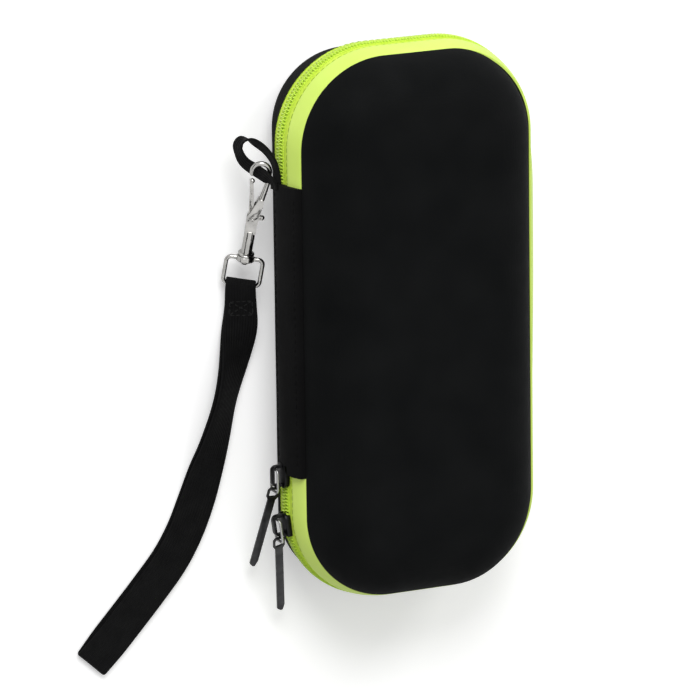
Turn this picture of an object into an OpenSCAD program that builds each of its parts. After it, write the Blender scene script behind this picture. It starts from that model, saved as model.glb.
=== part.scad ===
/* [Case] */
// Width of the case across the zip band
case_w = 105; // [95:1:120]
// Length of the case along the zip band
case_l = 224; // [200:1:250]
// Corner radius of the zip band and of the front half
corner_r = 38.5; // [34:0.5:42]
// Corner radius of the back half, a little squarer than the band
back_corner_r = 34; // [31:0.5:40]
// Depth of the back half, from its flat back to the middle of the zip
back_depth = 27; // [24:0.5:34]
// Depth of the front half, from the middle of the zip to its face
front_depth = 31; // [28:0.5:36]
// Radius of the soft edge round the front face
front_round = 22; // [18:0.5:24]
// Radius of the soft edge round the back face
back_round = 16; // [12:0.5:18]
// Slope of the shell walls, in degrees
draft = 7.8; // [4:0.2:10]
// Thickness of the moulded shell with its fabric skin
wall = 3.2; // [2.6:0.1:4]
// Thickness of the fabric lining
lining_t = 0.8; // [0.5:0.1:1.2]
/* [Edge band] */
// Height of the bright band on the rim of the front half
trim_h = 8.5; // [6:0.1:10]
// Thickness of the bright band
trim_t = 1; // [0.7:0.1:1.4]
// How far the bright band leans in over its height
trim_lean = 2.3; // [1:0.1:3]
/* [Zip] */
// Half the width of the zip, from its middle to either shell rim
zip_half = 5.9; // [5.5:0.1:6.5]
// Thickness of the zip tape
tape_t = 0.7; // [0.5:0.05:0.9]
// Distance from one tooth to the next on the same tape
tooth_pitch = 2.4; // [2.2:0.1:3]
// Thickness of the teeth, outward from the tape
tooth_t = 1.2; // [1:0.1:1.5]
// How far a tooth reaches past the middle of the zip
tooth_reach = 0.9; // [0.6:0.05:1.1]
// Width of the cord that the teeth stand on
cord_w = 1.2; // [1:0.1:1.4]
/* [Sliders] */
// Length of a zip slider along the track
slider_l = 9.6; // [9:0.1:10]
// Width of a zip slider across the track
slider_w = 7.8; // [7.4:0.1:8.4]
// Thickness of the slider's plates
plate_t = 0.9; // [0.8:0.05:1]
// Gap between the upper slider's tail and the start of the track
slider_a_gap = 0.2; // [0.2:0.1:1]
// Middle of the lower slider, in degrees round the bottom corner
slider_b_at = 8; // [8:0.5:14]
// Diameter of the wire links
link_wire = 1; // [0.8:0.05:1.1]
// Length of a wire link between the middles of its end bars
link_l = 9.2; // [9:0.1:9.8]
// Width of a wire link between the middles of its side bars
link_w = 6.4; // [5.6:0.1:7]
// Length of a puller below its link's end bar
tab_l = 39; // [34:0.5:42]
// Width of a puller's bar
tab_w = 3.2; // [2.8:0.1:3.6]
// Thickness of a puller
tab_t = 1; // [0.8:0.05:1.05]
/* [Spine and hang loop] */
// Straight stretch of zip between either end of the fabric spine and its corner
spine_gap = 16; // [16:0.5:24]
// How far the spine stands out at its middle
spine_proud = 2.4; // [1.6:0.1:3]
// Width of the hang loop's webbing
loop_w = 5.6; // [5:0.1:6]
// Thickness of the hang loop's webbing
loop_t = 1; // [0.8:0.1:1.2]
/* [Snap hook] */
// Thickness of the claw's round bar
claw_bar = 2; // [1.8:0.1:2.2]
// Width of the claw between the middles of its two sides
claw_w = 6.8; // [6.6:0.1:7.4]
// Diameter of the hook's shank
shank_d = 4.4; // [4:0.1:4.8]
// Diameter of the gate's pin
pin_d = 1.6; // [1.4:0.05:1.8]
// Diameter of the swivel rivet
rivet_d = 2; // [1.8:0.05:2.2]
// Diameter of the bail's wire
bail_wire = 1.7; // [1.5:0.05:1.9]
// Width of the bail between the middles of its sides
bail_w = 14.6; // [14:0.1:15]
// Length of the bail between the middles of its bars
bail_l = 12.2; // [11:0.1:13]
/* [Wrist strap] */
// Width of the strap's webbing
strap_w = 15; // [12:0.5:16]
// Width of the strap where it is drawn together in the bail
strap_neck_w = 12; // [10:0.1:12.2]
// Thickness of one layer of webbing
strap_t = 1.2; // [0.9:0.1:1.4]
// Space between the two layers
strap_gap = 0.5; // [0.4:0.05:0.8]
/* [Inside] */
// Width of the elastic band that holds the shaver
band_w = 38; // [25:1:60]
// Thickness of the elastic band
band_t = 1.2; // [0.8:0.1:1.6]
// Height of the elastic band above the lining's floor
band_rise = 14; // [8:0.5:15]
// Distance from one mesh hole to the next
mesh_pitch = 9; // [8:0.5:12]
// Width of the mesh threads
mesh_thread = 1.6; // [1.2:0.1:2]
// Thickness of the mesh
mesh_t = 0.8; // [0.6:0.1:1]
// Top edge of the mesh pocket, above the middle of the case
pocket_top = 22; // [0:1:40]
/* [Hidden] */
$fn = 64;
eps = 0.01;
black = [0.09, 0.09, 0.1];
lime = [0.72, 0.86, 0.2];
pale_lime = [0.78, 0.9, 0.42];
chrome = [0.82, 0.83, 0.85];
gunmetal = [0.3, 0.3, 0.32];
lining_grey = [0.22, 0.22, 0.23];
zip_z = back_depth;
face_z = back_depth + front_depth;
front_rim_z = zip_z + zip_half;
trim_top_z = front_rim_z + trim_h;
glue = 0.05;
// Depth of the tape below the outline of the zip band
tape_d = 0.3;
tape_in = 1.5;
flange_w = 3;
// The zip's open stretch between the two sliders is free of crossing teeth
post_half = 0.8;
parted_reach = -1.25;
tooth_w = tooth_pitch / 2 - 0.2;
post_l = 3;
nose_inset = 0.7;
// Length of the notch in the spine's lower end that the upper slider's tail stands in
tail_notch = 3.5;
spine_half = case_l / 2 - corner_r - spine_gap;
track_low = spine_half - tail_notch;
// Middle of the upper slider, below the middle of the case
slider_a_at = track_low + slider_l / 2 + slider_a_gap;
// Height of the crown's tunnel and thickness of its bridge
crown_gap = link_wire + 2.1;
crown_bar = 1.1;
crown_w = 2.4;
crown_l = slider_l - 0.8;
plate_gap = 0.3;
link_play = 0.35;
// The upper link hangs down until its side bar meets the crown; the lower one sits level
link_a_drop = link_w / 2 - crown_w / 2 - link_wire / 2 - link_play;
link_b_drop = 0;
// Angle of a puller below the level, its height below its link's middle, and how far the
// upper one leans out and the lower one in
tab_droop = 26;
tab_low = 1;
tab_a_out = 3.5;
tab_b_in = 5.3;

// Distance from the band's outline to a shell surface that starts at a rim and slopes in
function lean(start_d, dz) = start_d + dz * tan(draft);
// Inset of the flat of a dome whose edge rounding meets the wall at a given height
function flat_inset(start_d, start_h, round_r, depth) =
    start_d + sqrt(pow(round_r, 2) - pow(start_h - (depth - round_r), 2));

// Half of a dome's section: x runs out from a corner's axis, y up from the middle of the zip
module dome_section(r, rim_h, rim_d, start_h, start_d, round_r, depth) {
    flat = r - flat_inset(start_d, start_h, round_r, depth);
    union() {
        polygon([[0, rim_h], [r - rim_d, rim_h], [r - start_d, start_h], [0, start_h]]);
        translate([0, start_h]) square([flat, depth - start_h]);
        intersection() {
            translate([flat, depth - round_r]) circle(r = round_r);
            translate([flat, start_h]) square([round_r, depth - start_h]);
        }
    }
}

// Carries a section round the rounded outline: four sides and four corners, with a gap in
// the left side that is the given notch shorter at its lower end
module round_outline(r, gap = 0, notch = 0) {
    cx = case_w / 2 - r;
    cy = case_l / 2 - r;
    for (side = [0:3]) {
        across = side % 2 == 0 ? cx : cy;
        half = side % 2 == 0 ? cy : cx;
        rotate([0, 0, 90 * side]) {
            translate([across, half, 0]) rotate_extrude(angle = 90) children();
            if (side == 2 && gap > 0) {
                translate([across, half, 0])
                    rotate([90, 0, 0]) linear_extrude(half - gap + notch) children();
                translate([across, -gap, 0])
                    rotate([90, 0, 0]) linear_extrude(half - gap) children();
            } else {
                translate([across, half, 0])
                    rotate([90, 0, 0]) linear_extrude(2 * half) children();
            }
        }
    }
}

// Flat middle of a dome, inside the corner axes
module middle_plate(r, low, high) {
    translate([-(case_w / 2 - r), -(case_l / 2 - r), low])
        cube([case_w - 2 * r, case_l - 2 * r, high - low]);
}

module back_section(inset, grow) {
    start_h = back_depth - back_round * (1 - sin(draft));
    dome_section(back_corner_r, zip_half - grow, inset, start_h,
        lean(inset, start_h - zip_half), back_round - inset, back_depth - inset);
}

module back_shell_solid(outer, inner) {
    translate([0, 0, zip_z]) mirror([0, 0, 1]) {
        round_outline(back_corner_r) difference() {
            back_section(outer, 0);
            back_section(inner, eps);
        }
    }
    middle_plate(back_corner_r, outer, inner);
}

module back_shell() {
    color(black) back_shell_solid(0, wall);
}

module back_lining() {
    color(lining_grey) back_shell_solid(wall + glue, wall + glue + lining_t);
}

module front_upper(inset) {
    start_h = zip_half + trim_h;
    dome_section(corner_r, start_h - eps, trim_lean + inset, start_h, trim_lean + inset,
        front_round - inset, front_depth - inset);
}

module front_lower(inset, grow) {
    polygon([[0, zip_half - grow], [corner_r - trim_t - inset, zip_half - grow],
        [corner_r - trim_t - inset, zip_half],
        [corner_r - trim_t - trim_lean - inset, zip_half + trim_h],
        [0, zip_half + trim_h]]);
}

// The skin under the bright band steps in by the band's own thickness
module front_solid(outer, inner, step) {
    translate([0, 0, zip_z]) round_outline(corner_r) difference() {
        union() {
            front_upper(outer);
            front_lower(outer - trim_t + step, 0);
        }
        front_upper(inner);
        front_lower(inner - trim_t, eps);
        square([eps, zip_half + trim_h - eps]);
    }
    middle_plate(corner_r, face_z - inner, face_z - outer);
}

module front_shell() {
    color(black) front_solid(0, wall, trim_t);
}

module front_lining() {
    color(lining_grey) front_solid(wall + glue, wall + glue + lining_t, 0);
}

module front_trim() {
    corner = trim_t / 3;
    skin = corner_r - trim_t + glue;
    top = zip_half + trim_h - glue;
    color(pale_lime) translate([0, 0, zip_z]) round_outline(corner_r, spine_half)
        polygon([[skin, zip_half], [corner_r - corner, zip_half],
            [corner_r, zip_half + corner], [corner_r - trim_lean, top - corner],
            [corner_r - trim_lean - corner, top], [skin - trim_lean, top]]);
}

// One side of the zip lies above its middle, the other is its mirror image
module upper_or_lower(upper) {
    translate([0, 0, zip_z]) mirror([0, 0, upper ? 0 : 1]) children();
}

module tape(upper) {
    color(lime) upper_or_lower(upper) round_outline(corner_r, spine_half, tail_notch) {
        translate([corner_r - tape_d - tape_t, tape_in]) square([tape_t, zip_half - tape_in]);
        translate([corner_r - flange_w - tape_d, zip_half - tape_t]) square([flange_w, tape_t]);
    }
}

module back_tape() {
    tape(false);
}

module front_tape() {
    tape(true);
}

// A tooth in side view: a stem that widens into its head, x along the track, y across it
module tooth_outline(reach) {
    stem = tooth_w * 0.4;
    head = tooth_w * 0.52;
    root = tape_in + cord_w / 2;
    polygon([[-stem, root], [-head, -reach], [head, -reach], [stem, root]]);
}

corner_x = case_w / 2 - corner_r;
corner_y = case_l / 2 - corner_r;
quarter = corner_r * PI / 2;
// Track length from its start in the spine's notch, clockwise seen from the front: left side,
// corner, bottom, corner, right side, corner, top, corner, left side
left_run = corner_y - track_low;
track_l = 2 * left_run - tail_notch + 4 * quarter + 4 * corner_x + 2 * corner_y;
tooth_count = floor(track_l / tooth_pitch);
// Where the sliders' posts stand along the track
post_a = slider_a_at - track_low + slider_l / 2 - nose_inset - post_l;
post_b = left_run + corner_r * slider_b_at * PI / 180 - slider_l / 2 + nose_inset + post_l;

// Puts a tooth, drawn outward along x and standing at a corner axis, at a place on the track
module on_track(s) {
    s1 = left_run;
    s2 = s1 + quarter;
    s3 = s2 + 2 * corner_x;
    s4 = s3 + quarter;
    s5 = s4 + 2 * corner_y;
    s6 = s5 + quarter;
    s7 = s6 + 2 * corner_x;
    s8 = s7 + quarter;
    turn = 180 / (PI * corner_r);
    if (s < s1)
        translate([-corner_x, -track_low - s, 0]) rotate([0, 0, 180]) children();
    else if (s < s2)
        translate([-corner_x, -corner_y, 0]) rotate([0, 0, 180 + (s - s1) * turn]) children();
    else if (s < s3)
        translate([s - s2 - corner_x, -corner_y, 0]) rotate([0, 0, 270]) children();
    else if (s < s4)
        translate([corner_x, -corner_y, 0]) rotate([0, 0, 270 + (s - s3) * turn]) children();
    else if (s < s5)
        translate([corner_x, s - s4 - corner_y, 0]) children();
    else if (s < s6)
        translate([corner_x, corner_y, 0]) rotate([0, 0, (s - s5) * turn]) children();
    else if (s < s7)
        translate([corner_x - (s - s6), corner_y, 0]) rotate([0, 0, 90]) children();
    else if (s < s8)
        translate([-corner_x, corner_y, 0]) rotate([0, 0, 90 + (s - s7) * turn]) children();
    else
        translate([-corner_x, corner_y - (s - s8), 0]) rotate([0, 0, 180]) children();
}

module teeth(upper) {
    shift = upper ? tooth_pitch * 0.25 : tooth_pitch * 0.75;
    color(lime) upper_or_lower(upper) {
        round_outline(corner_r, spine_half, tail_notch)
            translate([corner_r - tape_d, tape_in]) square([tooth_t, cord_w]);
        for (i = [0:tooth_count - 1]) {
            s = shift + i * tooth_pitch;
            crossing = s < post_a - tooth_pitch / 2 || s > post_b + tooth_pitch / 2;
            on_track(s) translate([corner_r - tape_d, 0, 0]) rotate([90, 0, 90])
                linear_extrude(tooth_t)
                    tooth_outline(crossing ? tooth_reach : parted_reach);
        }
    }
}

module back_teeth() {
    teeth(false);
}

module front_teeth() {
    teeth(true);
}

// Fabric spine: a bulged strip that joins the two shells along the straight left side
module spine() {
    top_h = zip_half + trim_h;
    span = top_h + zip_half - glue;
    sink = trim_t - glue;
    mid = span / 2 - zip_half;
    bulge_r = (pow(span / 2, 2) + pow(spine_proud, 2)) / (2 * spine_proud);
    slope = atan(trim_lean / trim_h) * 0.6;
    color(black) difference() {
        translate([-case_w / 2, spine_half, zip_z]) rotate([90, 0, 0])
            linear_extrude(2 * spine_half) difference() {
                intersection() {
                    translate([bulge_r - spine_proud, mid]) rotate([0, 0, -slope])
                        circle(r = bulge_r);
                    translate([-2 * spine_proud, -zip_half])
                        square([2 * spine_proud + trim_t + trim_lean, span]);
                }
                polygon([[sink, -zip_half - 1], [sink, zip_half], [sink + trim_lean, top_h],
                    [sink + trim_lean, top_h + 1], [span, top_h + 1], [span, -zip_half - 1]]);
            }
        translate([-case_w / 2 - 2 * spine_proud, -spine_half - 1, zip_z - zip_half - 1])
            cube([span, tail_notch + 1, 2 * zip_half + 1]);
    }
}

// Vector helpers for the swept webbing
function unit(v) = v / norm(v);
function flat_to(v, along) = unit(v - (v * along) * along);
// Smooth curve through a list of rows, at a place given in rows
function row_at(rows, k) = rows[max(0, min(len(rows) - 1, k))];
function smooth(rows, at) =
    let (i = floor(at), f = at - i, a = row_at(rows, i - 1), b = row_at(rows, i),
        c = row_at(rows, i + 1), d = row_at(rows, i + 2))
    0.5 * (2 * b + (c - a) * f + (2 * a - 5 * b + 4 * c - d) * f * f
        + (3 * b - a - 3 * c + d) * f * f * f);

// Band swept through stations of [middle, width direction, width], closed end to end if asked
module webbing(stations, thick, closed) {
    n = len(stations);
    ahead = [for (i = [0:n - 1]) closed ? (i + 1) % n : min(i + 1, n - 1)];
    behind = [for (i = [0:n - 1]) closed ? (i + n - 1) % n : max(i - 1, 0)];
    points = [for (i = [0:n - 1])
        let (along = unit(stations[ahead[i]][0] - stations[behind[i]][0]),
            wide = flat_to(stations[i][1], along), up = cross(along, wide),
            half_w = stations[i][2] / 2)
        for (corner = [[1, 1], [-1, 1], [-1, -1], [1, -1]])
            stations[i][0] + corner[0] * half_w * wide + corner[1] * thick / 2 * up];
    last = closed ? n - 1 : n - 2;
    sides = [for (i = [0:last], k = [0:3])
        let (a = 4 * i + k, b = 4 * i + (k + 1) % 4, c = (a + 4) % (4 * n), d = (b + 4) % (4 * n))
        each [[a, d, b], [a, c, d]]];
    ends = closed ? [] : [[0, 1, 2], [0, 2, 3], [4 * n - 2, 4 * n - 3, 4 * n - 4],
        [4 * n - 1, 4 * n - 2, 4 * n - 4]];
    polyhedron(points = points, faces = concat(sides, ends));
}

// Hang loop: place of the middle relative to the outline's left side, the spine's upper end
// and the zip's middle, then the direction of its width
loop_rows = [
    [[-1.55, 0.05, 0.2], [0, 0, 1]],
    [[-1.55, 6.5, 0], [0, 0, 1]],
    [[-1.8, 11.5, -0.8], [0, 0.1, 1]],
    [[-3.6, 15.9, -2.4], [0.1, 0.2, 1]],
    [[-6.8, 19.1, -4], [0.2, 0.3, 1]],
    [[-11, 21.5, -6], [0.3, 0.1, 1]],
    [[-15, 21.5, -7.6], [0.3, 0, 1]],
    [[-16.8, 18.5, -8.8], [0.2, 0.1, 1]],
    [[-14.6, 14.1, -9.8], [0.1, 0.5, 1]],
    [[-11.4, 9.8, -9.8], [0, 1, 0.7]],
    [[-7.9, 7.1, -7.2], [0, 1, 0.3]],
    [[-6.7, 6, -4.3], [0, 1, 0.35]],
    [[-5.6, 4.9, -1.7], [0, 0.9, 0.5]],
    [[-4, 3.4, -0.3], [0, 0.4, 1]],
    [[-2.95, 1.6, 0], [0, 0, 1]],
    [[-2.9, 0.05, 0.2], [0, 0, 1]]];
loop_steps = 3;

module hang_loop() {
    places = [for (row = loop_rows) row[0] + [-case_w / 2, spine_half, zip_z]];
    turns = [for (row = loop_rows) row[1]];
    count = (len(loop_rows) - 1) * loop_steps;
    stations = [for (k = [0:count])
        [smooth(places, k / loop_steps), smooth(turns, k / loop_steps), loop_w]];
    color(black) webbing(stations, loop_t, false);
}

// Elastic band: a low arch across the back half, its ends sewn down on the lining's floor
module retaining_band() {
    floor_z = wall + glue + lining_t + glue;
    half = 30;
    foot = 5;
    rise_r = (pow(half, 2) + pow(band_rise, 2)) / (2 * band_rise);
    color(lining_grey) translate([0, band_w / 2, floor_z]) rotate([90, 0, 0])
        linear_extrude(band_w) {
            difference() {
                translate([0, band_rise - rise_r]) circle(r = rise_r);
                translate([0, band_rise - rise_r]) circle(r = rise_r - band_t);
                translate([-2 * rise_r, -2 * rise_r]) square([4 * rise_r, 2 * rise_r]);
            }
            for (end = [-1, 1])
                translate([end > 0 ? half - band_t : -half - foot + band_t, 0])
                    square([foot, band_t]);
        }
}

pocket_z = front_rim_z + 5;

// The pocket fills the lid's opening up to the lining
module pocket_area(inset) {
    edge = lean(trim_t + wall + lining_t, 0) + trim_lean * 0.6 + inset;
    r = corner_r - edge;
    hull_w = case_w / 2 - corner_r;
    hull_l = case_l / 2 - corner_r;
    square([2 * hull_w, 2 * (hull_l + r)], center = true);
    square([2 * (hull_w + r), 2 * hull_l], center = true);
    for (x = [-1, 1], y = [-1, 1])
        translate([x * hull_w, y * hull_l]) circle(r = r);
}

module mesh_pocket() {
    columns = floor((case_w - 24) / mesh_pitch / 2);
    hole = mesh_pitch - mesh_thread;
    low = -case_l / 2;
    color(black) translate([0, 0, pocket_z]) linear_extrude(mesh_t)
        difference() {
            intersection() {
                pocket_area(0.3);
                translate([-case_w / 2, low]) square([case_w, pocket_top - low]);
            }
            intersection() {
                for (i = [-columns:columns], j = [0:floor((pocket_top - low) / mesh_pitch)])
                    translate([i * mesh_pitch - hole / 2, pocket_top - 6 - hole - j * mesh_pitch])
                        square(hole);
                pocket_area(3.5);
            }
        }
}

module pocket_hem() {
    hem_w = 7;
    hem_t = 0.7;
    color(black) translate([0, 0, pocket_z - hem_t - glue]) linear_extrude(hem_t)
        intersection() {
            pocket_area(1.4);
            translate([-case_w / 2, pocket_top - hem_w]) square([case_w, hem_w]);
        }
}

// Carries a section along a slider: straight, or round the corner's axis
module slider_run(bent, length) {
    if (bent) {
        turn = length / corner_r * 180 / PI;
        translate([-corner_r, 0, 0]) rotate([0, 0, -turn / 2])
            rotate_extrude(angle = turn) translate([corner_r, 0]) children();
    } else {
        translate([0, length / 2, 0]) rotate([90, 0, 0]) linear_extrude(length) children();
    }
}

top_n = tooth_t - tape_d + plate_gap;
under_n = -tape_d - tape_t - plate_gap;

// Section of a slider across the track: x outward, y across
module slider_section() {
    half = slider_w / 2;
    translate([top_n, -half]) square([plate_t, slider_w]);
    translate([under_n - plate_t, -half + 0.3]) square([plate_t, slider_w - 0.6]);
    for (side = [-1, 1])
        translate([0, side > 0 ? half - 0.8 : -half]) square([top_n + eps, 0.8]);
}

// Plan of a slider: broad shoulders at the nose, narrow tail, x across, y along the track
module slider_plan() {
    half = slider_w / 2;
    tail = half - 0.8;
    long = slider_l / 2;
    polygon([[-tail, -long], [-half + 0.3, -long + 2], [-half, 0.5], [-half, long - 2.2],
        [-half + 0.6, long - 0.8], [-half + 1.6, long], [-1, long], [0, long - nose_inset],
        [1, long], [half - 1.6, long], [half - 0.6, long - 0.8], [half, long - 2.2], [half, 0.5],
        [half - 0.3, -long + 2], [tail, -long]]);
}

// Arch of the crown in side view: x outward, y along the track
module crown_outline() {
    base = top_n + plate_t;
    high = crown_gap + crown_bar;
    r = crown_bar * 2;
    difference() {
        union() {
            translate([base - plate_t * 0.6, -crown_l / 2])
                square([high - r + plate_t * 0.6, crown_l]);
            translate([base, -crown_l / 2 + r]) square([high, crown_l - 2 * r]);
            for (end = [-1, 1])
                translate([base + high - r, end * (crown_l / 2 - r)]) circle(r = r);
        }
        translate([base, -crown_l / 2 + crown_bar]) square([crown_gap, crown_l - 2 * crown_bar]);
    }
}

module slider(bent) {
    color(gunmetal) {
        intersection() {
            slider_run(bent, slider_l) slider_section();
            translate([-5, 0, 0]) rotate([0, 90, 0]) linear_extrude(12) slider_plan();
        }
        translate([under_n - plate_t / 2, slider_l / 2 - nose_inset - post_l, -post_half])
            cube([top_n - under_n + plate_t, post_l - 0.8, 2 * post_half]);
        translate([0, 0, -crown_w / 2]) linear_extrude(crown_w) crown_outline();
    }
}

// Local axes of a slider: x outward, y towards its nose, z across the track
module at_slider_a() {
    translate([-case_w / 2, -slider_a_at, zip_z]) rotate([0, 0, 180]) children();
}

module at_slider_b() {
    translate([-corner_x, -corner_y, zip_z]) rotate([0, 0, 180 + slider_b_at])
        translate([corner_r, 0, 0]) rotate([180, 0, 0]) children();
}

module slider_a() {
    at_slider_a() slider(false);
}

module slider_b() {
    at_slider_b() slider(true);
}

// A link is a closed loop of round wire, drawn in a plane with its long way along y
module wire_link(long, wide, wire, bend) {
    r = wire * bend;
    for (x = [-1, 1])
        translate([x * wide / 2, -long / 2 + r, 0]) rotate([-90, 0, 0])
            cylinder(d = wire, h = long - 2 * r);
    for (y = [-1, 1])
        translate([-wide / 2 + r, y * long / 2, 0]) rotate([0, 90, 0])
            cylinder(d = wire, h = wide - 2 * r);
    for (x = [0, 1], y = [0, 1])
        mirror([x, 0, 0]) mirror([0, y, 0])
            translate([wide / 2 - r, long / 2 - r, 0])
                rotate_extrude(angle = 90) translate([r, 0]) circle(d = wire);
}

// The links hang from the crowns' upper ends
link_x = top_n + plate_t + crown_gap - link_wire / 2 - link_play;
link_y = crown_l / 2 - crown_bar - link_wire / 2 - 0.2;

module link_a() {
    color(gunmetal) translate([-case_w / 2 - link_x, -slider_a_at + link_y - link_l / 2,
        zip_z - link_a_drop]) rotate([0, 90, 0]) wire_link(link_l, link_w, link_wire, 1.4);
}

module link_b() {
    color(gunmetal) translate([-corner_x, -corner_y, zip_z - link_b_drop])
        rotate([0, 0, 180 + slider_b_at]) translate([corner_r + link_x, link_l / 2 - link_y, 0])
            rotate([0, 90, 0]) wire_link(link_l, link_w, link_wire, 1.4);
}

// A puller: a window that its link's end bar passes through, then a long flat bar with its
// end cut aslant; the end bar's place is the origin
module puller() {
    half = tab_w / 2;
    head = half + 0.9;
    bevel = tab_w * 0.9;
    linear_extrude(tab_t) difference() {
        polygon([[-head + 1, 1.65], [-head, 0.6], [-head, -2.9], [-half, -4.4],
            [-half, -tab_l + bevel * 0.45], [-half * 0.2, -tab_l], [half * 0.45, -tab_l],
            [half, -tab_l + bevel], [half, -4.4], [head, -2.9], [head, 0.6], [head - 1, 1.65]]);
        polygon([[-head + 1.2, 0.85], [-head + 0.8, 0.4], [-head + 0.8, -2.3],
            [-head + 1.2, -2.8], [head - 1.2, -2.8], [head - 0.8, -2.3], [head - 0.8, 0.4],
            [head - 1.2, 0.85]]);
    }
}

module tab_a() {
    color(gunmetal) translate([-case_w / 2 - link_x, -slider_a_at + link_y - link_l,
        zip_z - link_a_drop - tab_low]) rotate([0, 0, -tab_a_out]) rotate([tab_droop, 0, 0])
            translate([0, 0, -tab_t / 2]) puller();
}

module tab_b() {
    color(gunmetal) translate([-corner_x, -corner_y, zip_z - link_b_drop - tab_low])
        rotate([0, 0, slider_b_at]) translate([-corner_r - link_x, link_y - link_l, 0])
            rotate([0, 0, tab_b_in]) rotate([tab_droop, 0, 0])
                translate([0, 0, -tab_t / 2]) puller();
}

// Snap hook: place of the claw relative to the spine's upper end; local x across, y from the bail up to the claw's top, z towards the front
hook_at = [-6.7, 5.5, -4.5];
hook_tilt = [-1.6, -36, -12.5];
hook_side = [cos(25), 0, sin(25)];
hook_y = -unit(hook_tilt);
hook_x = flat_to(hook_side, hook_y);
hook_z = cross(hook_x, hook_y);
hook_origin = hook_at + [-case_w / 2, spine_half, zip_z];
claw_r = claw_bar / 2;
claw_top = 1.5;
claw_leg = 5;
pivot_y = -20;
slot_half = 0.95;
cheek_t = 0.9;
shank_top = -24.5;
shank_end = -35.4;
collar_t = 1.4;
boss_t = 2.6;
bail_bar_y = shank_end - collar_t - 0.15 - boss_t / 2;
run_gap = 0.05;

module at_hook() {
    multmatrix([[hook_x.x, hook_y.x, hook_z.x, hook_origin.x],
        [hook_x.y, hook_y.y, hook_z.y, hook_origin.y],
        [hook_x.z, hook_y.z, hook_z.z, hook_origin.z], [0, 0, 0, 1]]) children();
}

// Round bar with ball ends between two places
module round_bar(from, to, d_from, d_to) {
    along = to - from;
    turn = atan2(along.y, along.x);
    translate(from) rotate([0, 90, turn]) cylinder(d1 = d_from, d2 = d_to, h = norm(along));
    translate(from) sphere(d = d_from);
    translate(to) sphere(d = d_to);
}

module hook_body() {
    half = claw_w / 2;
    neck = [2.1, -11.6, 0];
    color(chrome) at_hook() {
        translate([0, claw_top, 0]) rotate_extrude(angle = 180)
            translate([half, 0]) circle(d = claw_bar);
        round_bar([half, claw_top, 0], [half, claw_top - claw_leg, 0], claw_bar, claw_bar);
        round_bar([half, claw_top - claw_leg, 0], neck, claw_bar, claw_bar * 1.2);
        round_bar([-half, claw_top, 0], [-half, claw_top - 1.6, 0], claw_bar, claw_bar * 0.9);
        difference() {
            union() {
                translate([1, -14.2, -slot_half - cheek_t])
                    cube([2.2, 3.6, 2 * (slot_half + cheek_t)]);
                for (side = [-slot_half - cheek_t, slot_half])
                    translate([0, 0, side]) linear_extrude(cheek_t) {
                        translate([0, pivot_y]) circle(r = 2.4);
                        polygon([[-2.2, -25.5], [-2.2, -19], [1, -10.6], [3.2, -10.6],
                            [3.2, -13], [2.2, -19], [2.2, -25.5]]);
                    }
                translate([-2.2, -26.4, -slot_half - cheek_t])
                    cube([4.4, 2.4, 2 * (slot_half + cheek_t)]);
            }
            translate([0, pivot_y, -4]) cylinder(d = pin_d, h = 8);
        }
        translate([0, -25.4, 0]) rotate([90, 0, 0])
            cylinder(d = shank_d, h = -25.4 - shank_end);
        translate([0, shank_end, 0]) rotate([90, 0, 0])
            cylinder(d = shank_d + 0.8, h = collar_t);
    }
}

module gate_lever() {
    half = claw_w / 2;
    flat = slot_half - 0.2;
    color(chrome) at_hook() difference() {
        union() {
            translate([0, 0, -flat]) linear_extrude(2 * flat) {
                translate([0, pivot_y]) circle(r = 1.7);
                polygon([[-1.7, pivot_y], [-half + 0.5, -8.6], [-half - 0.4, -2.9],
                    [-half + 1.1, -2.6], [-half + 2, -8], [0.6, pivot_y + 1.6]]);
                polygon([[0, pivot_y - 1.6], [0, pivot_y + 1.6], [2.6, pivot_y + 1.7],
                    [4, pivot_y + 1.6], [4.2, pivot_y], [2.4, pivot_y - 0.2]]);
            }
            translate([3.7, pivot_y + 0.9, 0]) sphere(d = 2);
        }
        translate([0, pivot_y, -4]) cylinder(d = pin_d + 2 * run_gap, h = 8);
    }
}

module gate_pin() {
    long = 2 * (slot_half + cheek_t) + 0.5;
    color(chrome) at_hook() translate([0, pivot_y, -long / 2]) cylinder(d = pin_d, h = long);
}

// Leaf spring behind the gate's heel, bent up from the slot's floor
module gate_spring() {
    leaf_t = 0.25;
    low = pivot_y - 3.95;
    high = pivot_y - 1.95;
    color(chrome) at_hook() translate([0, 0, -slot_half + 0.3]) linear_extrude(1.3)
        polygon([[-1.9, low], [1.7, low], [-0.7, high], [-1, high - leaf_t],
            [1, low + leaf_t], [-1.9, low + leaf_t]]);
}

module swivel_rivet() {
    color(chrome) at_hook() {
        translate([0, shank_end - collar_t, 0]) rotate([90, 0, 0])
            cylinder(d = rivet_d, h = boss_t + 0.3);
        translate([0, shank_end - collar_t - boss_t - 0.3, 0]) rotate([90, 0, 0])
            cylinder(d1 = rivet_d * 1.9, d2 = rivet_d * 1.2, h = 1.1);
    }
}

module bail() {
    color(chrome) at_hook() difference() {
        union() {
            translate([0, bail_bar_y - bail_l / 2, 0])
                wire_link(bail_l, bail_w, bail_wire, 1.25);
            translate([0, bail_bar_y + boss_t / 2, 0]) rotate([90, 0, 0])
                cylinder(d = rivet_d * 2.4, h = boss_t);
        }
        translate([0, bail_bar_y + boss_t, 0]) rotate([90, 0, 0])
            cylinder(d = rivet_d + 2 * run_gap, h = 2 * boss_t);
    }
}

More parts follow.
